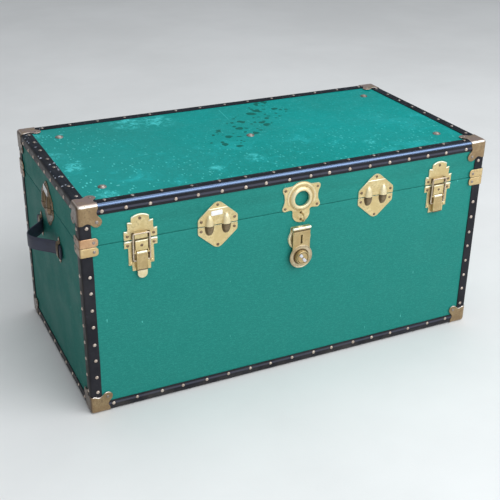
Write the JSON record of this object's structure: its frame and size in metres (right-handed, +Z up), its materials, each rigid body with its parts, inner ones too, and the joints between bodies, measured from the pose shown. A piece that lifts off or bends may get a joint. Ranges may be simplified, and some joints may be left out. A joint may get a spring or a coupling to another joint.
{
  "type": "footlocker",
  "caption": "Rectangular plywood footlocker with hinged lid, fibre edge bindings, brass corner caps, draw latches, hasp lock, alignment dowels and strap handles.",
  "frame": {"origin": "on the ground under the middle of the whole trunk's box, handles and hardware included", "axes": "+X along the long side to the right, +Y to the rear (hinge side), +Z up; the latches face -Y"},
  "size_m": [1.0096, 0.4944, 0.4556],
  "materials": {
    "green_fibre": "vulcanised fibre skin on plywood, fine cloth grain, satin",
    "black_fibre": "black vulcanised fibre edge binding, semi-gloss",
    "brass": "brass-plated steel, dulled",
    "aged_bronze": "brass-plated steel, aged and browned",
    "steel_wire": "drawn wire with worn brass plating",
    "strap_leather": "dark blue-grey leather, semi-matt"
  },
  "bodies": {
    "case": {"body_front_panel": "green_fibre", "body_back_panel": "green_fibre", "body_left_panel": "green_fibre", "body_right_panel": "green_fibre", "base_panel": "green_fibre", "body_edge_binding": "black_fibre", "body_cap_front_left": "aged_bronze", "body_cap_rear_left": "aged_bronze", "body_cap_front_right": "aged_bronze", "body_cap_rear_right": "aged_bronze", "body_clamp_front_left": "aged_bronze", "body_clamp_rear_left": "aged_bronze", "body_clamp_front_right": "aged_bronze", "body_clamp_rear_right": "aged_bronze", "left_latch_base": "brass", "right_latch_base": "brass", "dowel_body_front_left": "brass", "dowel_body_front_right": "brass", "dowel_body_left_end": "brass", "dowel_body_right_end": "brass", "hasp_plate": "brass", "left_handle_loop_front": "brass", "left_handle_loop_rear": "brass", "right_handle_loop_front": "brass", "right_handle_loop_rear": "brass", "rear_hinge_body_left": "brass", "rear_hinge_body_right": "brass"},
    "lid": {"lid_top_panel": "green_fibre", "lid_front_panel": "green_fibre", "lid_back_panel": "green_fibre", "lid_left_panel": "green_fibre", "lid_right_panel": "green_fibre", "lid_edge_binding": "black_fibre", "lid_cap_front_left": "aged_bronze", "lid_cap_rear_left": "aged_bronze", "lid_cap_front_right": "aged_bronze", "lid_cap_rear_right": "aged_bronze", "lid_clamp_front_left": "aged_bronze", "lid_clamp_rear_left": "aged_bronze", "lid_clamp_front_right": "aged_bronze", "lid_clamp_rear_right": "aged_bronze", "left_latch_catch": "brass", "right_latch_catch": "brass", "dowel_lid_front_left": "brass", "dowel_lid_front_right": "brass", "dowel_lid_left_end": "brass", "dowel_lid_right_end": "brass", "lock_plate": "brass", "rear_hinge_lid_left": "brass", "rear_hinge_lid_right": "brass"},
    "left_latch_lever": {"left_latch_lever": "brass"},
    "right_latch_lever": {"right_latch_lever": "brass"},
    "left_latch_bail": {"left_latch_bail": "steel_wire"},
    "right_latch_bail": {"right_latch_bail": "steel_wire"},
    "hasp": {"hasp_flap": "brass", "lock_drum": "brass"},
    "lock_plug": {"lock_plug": "brass"},
    "left_handle": {"left_handle_strap": "strap_leather"},
    "right_handle": {"right_handle_strap": "strap_leather"}
  },
  "joints": [
    {"name": "lid_hinge", "type": "hinge", "parent": "case", "child": "lid", "pos_m": [0, 0.2438, 0.37], "axis": [-1, 0, 0], "range_deg": [0, 105]},
    {"name": "left_latch_lever_hinge", "type": "hinge", "parent": "case", "child": "left_latch_lever", "pos_m": [-0.34, -0.2339, 0.3435], "axis": [-1, 0, 0], "range_deg": [0, 110]},
    {"name": "left_latch_bail_hinge", "type": "hinge", "parent": "left_latch_lever", "child": "left_latch_bail", "pos_m": [-0.34, -0.2339, 0.327], "axis": [-1, 0, 0], "range_deg": [-136, 0]},
    {"name": "right_latch_lever_hinge", "type": "hinge", "parent": "case", "child": "right_latch_lever", "pos_m": [0.34, -0.2339, 0.3435], "axis": [-1, 0, 0], "range_deg": [0, 110]},
    {"name": "right_latch_bail_hinge", "type": "hinge", "parent": "right_latch_lever", "child": "right_latch_bail", "pos_m": [0.34, -0.2339, 0.327], "axis": [-1, 0, 0], "range_deg": [-136, 0]},
    {"name": "hasp_hinge", "type": "hinge", "parent": "case", "child": "hasp", "pos_m": [0.0035, -0.2369, 0.33], "axis": [-1, 0, 0], "range_deg": [0, 179]},
    {"name": "lock_plug_turn", "type": "hinge", "parent": "hasp", "child": "lock_plug", "pos_m": [0.0035, -0.2369, 0.266], "axis": [0, 1, 0], "range_deg": [0, 90]},
    {"name": "left_handle_lift", "type": "hinge", "parent": "case", "child": "left_handle", "pos_m": [-0.459, 0.0041, 0.296], "axis": [0, 1, 0], "range_deg": [0, 75], "deforming": ["left_handle_strap"]},
    {"name": "right_handle_lift", "type": "hinge", "parent": "case", "child": "right_handle", "pos_m": [0.459, 0.0041, 0.296], "axis": [0, -1, 0], "range_deg": [0, 75], "deforming": ["right_handle_strap"]}
  ],
  "couplings": [
    {"joint": "left_latch_bail_hinge", "follows": "left_latch_lever_hinge", "ratio": -1.227},
    {"joint": "right_latch_bail_hinge", "follows": "right_latch_lever_hinge", "ratio": -1.227}
  ]
}
